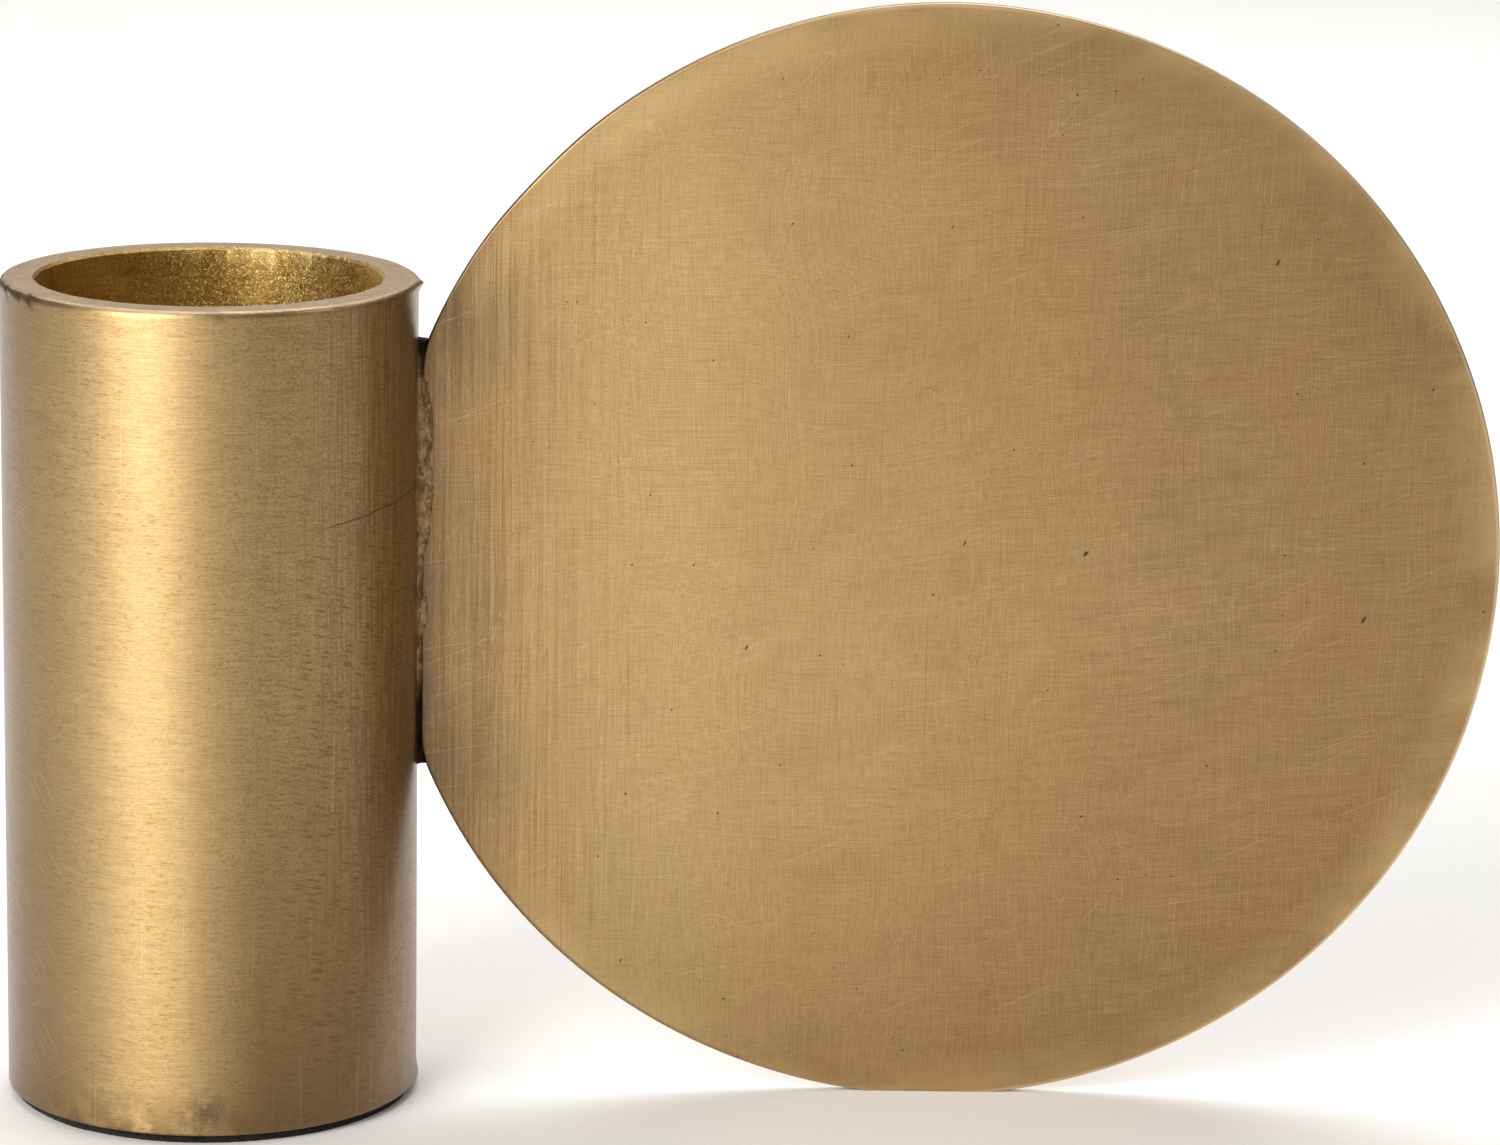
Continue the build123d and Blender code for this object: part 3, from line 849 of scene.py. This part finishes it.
def disc_reach(angle):
    """How far the outline lies from the disc's centre: round, with its straight side, foot and wobble."""
    wobble = HAND_WOBBLE * (noise.noise(Vector((cos(angle), sin(angle), 5.0)) * 2.2) - 0.6)
    wobble -= LOW_SPOT * hump(wrapped(angle - LOW_SPOT_ANGLE), LOW_SPOT_SPREAD)
    wobble *= 1 - max(hump(wrapped(angle), TRUE_SPREAD), hump(wrapped(angle - pi / 2), TRUE_SPREAD))
    reach = DISC_RADIUS + wobble
    if cos(angle) < -0.5:
        reach = soft_least(reach, (DISC_X - DISC_EDGE_X) / -cos(angle), CORNER_BLEND)
    if sin(angle) < -0.5:
        reach = min(reach, (DISC_Z - disc_low[2]) / -sin(angle))
    return reach


edge_top = DISC_THICK / 2 - DISC_ROLL_OFF
face_rings = []
for inward in DISC_FACE_RINGS:
    fall = DISC_ROLL_OFF * hump(inward - DISC_EDGE_ROUND, DISC_ROLL_WIDTH)
    face_rings.append((DISC_RADIUS - inward, DISC_THICK / 2 - fall))
half = [(0.0, DISC_THICK / 2)] + face_rings
half += arc((DISC_RADIUS - DISC_EDGE_ROUND, edge_top - DISC_EDGE_ROUND), DISC_EDGE_ROUND, 90, 0, 5)
outline = half + [(radius, -height) for radius, height in reversed(half)]
disc_shape = turned(outline, DISC_STEPS, closed=False)
for corner in disc_shape.verts:
    radius = hypot(corner.co.x, corner.co.y)
    angle = atan2(corner.co.y, corner.co.x)
    if radius > DISC_RADIUS - DISC_FACE_RINGS[0]:
        scale = (disc_reach(angle) - (DISC_RADIUS - radius)) / radius
    else:
        scale = (disc_reach(angle) - DISC_FACE_RINGS[0]) / (DISC_RADIUS - DISC_FACE_RINGS[0])
    corner.co.x *= scale
    corner.co.y *= scale
disc_middle = (DISC_X, (disc_low[1] + disc_high[1]) / 2, DISC_Z)
stand_up = Matrix.Translation(disc_middle) @ Matrix.Rotation(pi / 2, 4, "X")
bmesh.ops.transform(disc_shape, verts=disc_shape.verts, matrix=stand_up)
disc = finished("disc_brushed", disc_shape, (disc_brass(),))
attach(disc, "root")
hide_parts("disc")

# --------------------------------------------------------------------------------------------------
# Brazed joint: filler metal run in between the tube and the disc on both sides. In front it stands
# proud as a lumpy fillet in the upper half and has sunk deep into the gap below, where it shows as a
# dark crevice.
# --------------------------------------------------------------------------------------------------
bead_low, bead_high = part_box("joint_braze_front")
BEAD_STEPS = 240
BEAD_LUMPS = 0.06           # in mm, as the outlines below
FILLET_OUTLINE = ((24.4, -3.0), (24.80, -3.00), (24.98, -2.25), (25.25, -1.80), (25.6, -1.50),
                  (26.0, -1.32), (26.5, -1.16), (26.9, -0.85), (26.4, -0.3), (25.2, -0.1), (24.5, -0.3),
                  (24.2, -1.6))                  # seen from above, where the run is full
ROOT_OUTLINE = ((24.6, -0.50), (24.75, -0.46), (24.95, -0.42), (25.10, -0.38), (25.30, -0.38),
                (25.55, -0.42), (25.75, -0.40), (25.85, -0.25), (25.8, -0.1), (25.2, -0.05), (24.7, -0.1),
                (24.6, -0.3))                    # and where it has sunk into the gap
END_HOLLOW = 0.95           # how far the ends draw back in the middle of the gap, in mm
END_WANDER = 0.15
GAP_MIDDLE = 25.5
# How full the run is at its heights, in front and behind.
FRONT_FULLNESS = ((40.6, 0.04), (46.0, 0.0), (49.0, 0.12), (53.0, 0.34), (57.0, 0.30), (59.0, 0.60),
                  (61.0, 0.62), (63.0, 0.36), (67.0, 0.40), (70.0, 0.75), (75.0, 0.95), (79.0, 0.80),
                  (83.0, 0.95), (87.0, 0.72), (89.5, 0.25), (93.7, 0.04))
REAR_FULLNESS = ((40.6, 0.3), (44.0, 0.8), (52.0, 1.0), (60.0, 0.75), (68.0, 0.95), (77.0, 0.85),
                 (86.0, 1.0), (91.0, 0.7), (93.7, 0.3))
BRAZE_BROWN = (0.14, 0.080, 0.033, 1)
BRAZE_BRASS = (0.40, 0.262, 0.118, 1)
BRAZE_CRUMB = (0.70, 0.53, 0.32, 1)
# Painted shade, black, deep in the gap between the tube and the disc.
GAP_SHADE_BLACK = (0.010, 0.006, 0.004, 1)


def joint_braze():
    """Brown and rough where it stands proud, with bright crumbs; painted shade makes it black deep in the
    gap.
    """
    finish, tree, shader = new_finish("joint_braze", **{"Metallic": 0.9})
    place = node(tree, "TexCoord").outputs["Object"]
    axes = node(tree, "SeparateXYZ", {"Vector": place})
    skin = grain(tree, place, (0.7, 0.7, 1.6), detail=6.0, roughness=0.68)
    crumbs = grain(tree, place, (0.25, 0.25, 0.6), detail=2.0, start=(1.0, 2.0, 3.0))
    from_middle = maths(tree, "ABSOLUTE", axes.outputs["Y"])
    colour = layered(tree, BRAZE_BROWN,
                     (between(tree, skin, 0.34, 0.60), BRAZE_BRASS),
                     (between(tree, crumbs, 0.60, 0.68, 0.0, 0.7), BRAZE_CRUMB),
                     # painted shade: black where the filler lies deep in the gap
                     (between(tree, from_middle, 0.55 * MM, 1.0 * MM, 0.97, 0.0), GAP_SHADE_BLACK))
    tree.links.new(colour, shader.inputs["Base Color"])
    tree.links.new(between(tree, skin, 0.3, 0.7, 0.70, 0.50), shader.inputs["Roughness"])
    relief(tree, shader, skin, 0.10, 0.9)
    return finish


def read_off(table, value):
    """Straight-line reading of a table of (value, result) pairs."""
    for (low, first), (high, second) in zip(table, table[1:]):
        if value <= high:
            return first + (second - first) * max(value - low, 0.0) / (high - low)
    return table[-1][1]


def braze_run(name, side, fullness, seed):
    """Pushes the outline up in short steps, then swells each step by how full the run is there."""
    shape = bmesh.new()
    order = shape.verts.layers.int.new("order")
    corners = []
    for index, (x, y) in enumerate(FILLET_OUTLINE):
        corner = shape.verts.new((x * MM, y * MM, bead_low[2]))
        corner[order] = index
        corners.append(corner)
    top = shape.faces.new(corners)
    rise = (bead_high[2] - bead_low[2]) / BEAD_STEPS
    for step in range(BEAD_STEPS):
        pushed = bmesh.ops.extrude_face_region(shape, geom=[top])["geom"]
        raised = [part for part in pushed if isinstance(part, bmesh.types.BMVert)]
        bmesh.ops.translate(shape, verts=raised, vec=(0, 0, rise))
        if step > 0:
            shape.faces.remove(top)     # the last top now lies inside
        top = next(part for part in pushed if isinstance(part, bmesh.types.BMFace))
    for corner in shape.verts:
        height = corner.co.z / MM
        full = read_off(fullness, height)
        full *= 1 + 0.25 * noise.noise(Vector((seed, 0.0, height * 0.5)))
        thin = Vector(ROOT_OUTLINE[corner[order]])
        thick = Vector(FILLET_OUTLINE[corner[order]])
        x, y = thin.lerp(thick, full)
        spread = Vector((x, y, height))
        lump = 0.5 * noise.noise(spread * 0.6 + Vector((seed, 0, 0))) + noise.noise(spread * 2.1)
        lump += 0.8 * noise.noise(spread * 4.7)
        inside = noise.noise(spread * 0.8 + Vector((0, seed, 0)))
        corner.co.x = (x + BEAD_LUMPS * inside) * MM
        corner.co.y = side * -(y - BEAD_LUMPS * (0.3 + full) * lump) * MM
        from_end = min(corner.co.z - bead_low[2], bead_high[2] - corner.co.z) / MM
        draw_back = END_HOLLOW * hump(x - GAP_MIDDLE, 0.5) * exp(-from_end)
        towards_middle = 1 if height * MM < (bead_low[2] + bead_high[2]) / 2 else -1
        wander = END_WANDER * min(from_end, 1.0) * noise.noise(spread * 1.7)
        corner.co.z += (towards_middle * draw_back + wander) * MM
    bmesh.ops.recalc_face_normals(shape, faces=shape.faces)
    return finished(name, shape, (joint_finish,), sharp=60.0)


joint_finish = joint_braze()
braze_front = braze_run("braze_front", -1, FRONT_FULLNESS, 3.0)
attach(braze_front, "root")
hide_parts("joint_braze_front")
braze_rear = braze_run("braze_rear", 1, REAR_FULLNESS, 8.0)
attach(braze_rear, "root")
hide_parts("joint_braze_rear")
